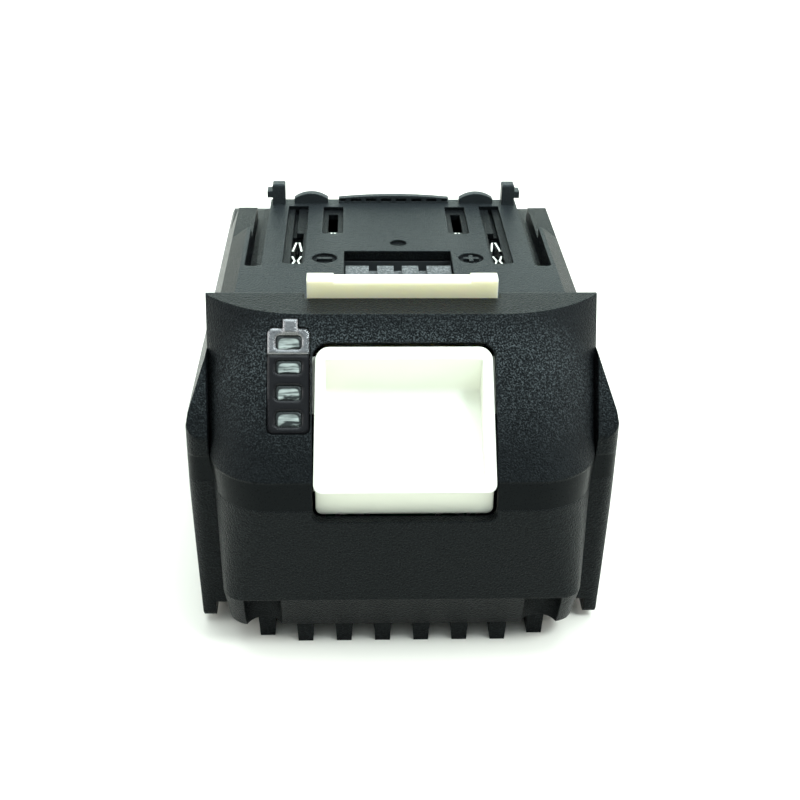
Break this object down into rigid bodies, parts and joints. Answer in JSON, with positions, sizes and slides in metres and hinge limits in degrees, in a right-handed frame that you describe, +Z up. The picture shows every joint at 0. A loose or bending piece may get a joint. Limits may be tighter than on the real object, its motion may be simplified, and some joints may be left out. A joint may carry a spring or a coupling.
{
  "type": "power tool battery pack",
  "caption": "Slide-on power tool battery pack with a hooded front, a white release button with a latch bar, a charge gauge, rail grooves and terminal slots.",
  "frame": {"origin": "on the ground plane at the tips of the foot ribs, under the middle of the pack's length and width", "axes": "+X to the right of the front face, +Y from the hooded front to the rear, +Z up"},
  "size_m": [0.076, 0.1124, 0.063],
  "materials": {
    "case_plastic": "fine sparked texture",
    "button_plastic": "satin",
    "latch_plastic": "satin",
    "gauge_gloss": "polished",
    "window_clear": "polished, clear",
    "connector_plastic": "fine texture",
    "block_plastic": "satin",
    "holder_plastic": "satin",
    "contact_metal": "bright plated",
    "nickel": "satin",
    "spring_steel": "drawn",
    "zinc_steel": "zinc plated",
    "cell_wrap": "shrink film over a metal can",
    "foam": "open cell foam",
    "fish_paper": "matt",
    "board_laminate": "solder mask",
    "part_black": "moulded",
    "part_ceramic": "matt",
    "led_resin": "clear resin"
  },
  "bodies": {
    "pack": {"balance_chip": "part_black", "board_capacitors": "part_ceramic", "board_screws": "zinc_steel", "case_screws": "zinc_steel", "cell_01": "cell_wrap", "cell_02": "cell_wrap", "cell_03": "cell_wrap", "cell_04": "cell_wrap", "cell_05": "cell_wrap", "cell_06": "cell_wrap", "cell_07": "cell_wrap", "cell_08": "cell_wrap", "cell_09": "cell_wrap", "cell_10": "cell_wrap", "cell_holder_left": "holder_plastic", "cell_holder_right": "holder_plastic", "check_switch": "part_black", "circuit_board": "board_laminate", "control_chip": "part_black", "data_connector": "connector_plastic", "data_contacts": "contact_metal", "foam_pad_front": "foam", "foam_pad_rear": "foam", "gauge_bezel": "gauge_gloss", "gauge_board": "board_laminate", "gauge_window_2": "window_clear", "gauge_window_3": "window_clear", "gauge_window_4": "window_clear", "insulator_sheet": "fish_paper", "led_1": "led_resin", "led_2": "led_resin", "led_3": "led_resin", "led_4": "led_resin", "lower_case": "case_plastic", "main_fuse": "part_ceramic", "negative_contact": "contact_metal", "negative_tab": "nickel", "positive_contact": "contact_metal", "positive_tab": "nickel", "release_spring_left": "spring_steel", "release_spring_right": "spring_steel", "signal_contact_left": "contact_metal", "signal_contact_right": "contact_metal", "strip_left_1": "nickel", "strip_left_2": "nickel", "strip_left_3": "nickel", "strip_right_1": "nickel", "strip_right_2": "nickel", "strip_right_3": "nickel", "terminal_block": "block_plastic", "thermistor": "part_black", "upper_case": "case_plastic"},
    "release": {"release_button": "button_plastic", "latch_hook": "latch_plastic"},
    "check": {"check_key": "gauge_gloss", "gauge_window_1": "window_clear", "switch_plunger": "part_black"}
  },
  "joints": [
    {"name": "release_slide", "type": "slide", "parent": "pack", "child": "release", "axis": [0, 0, -1], "range_m": [0, 0.0036], "stiffness_N_per_m": 1500, "springref_m": -0.002, "deforming": ["release_spring_left", "release_spring_right"]},
    {"name": "check_press", "type": "slide", "parent": "pack", "child": "check", "axis": [0, 0.7945, -0.6073], "range_m": [0, 0.0005], "stiffness_N_per_m": 1000, "springref_m": -0.0005}
  ]
}
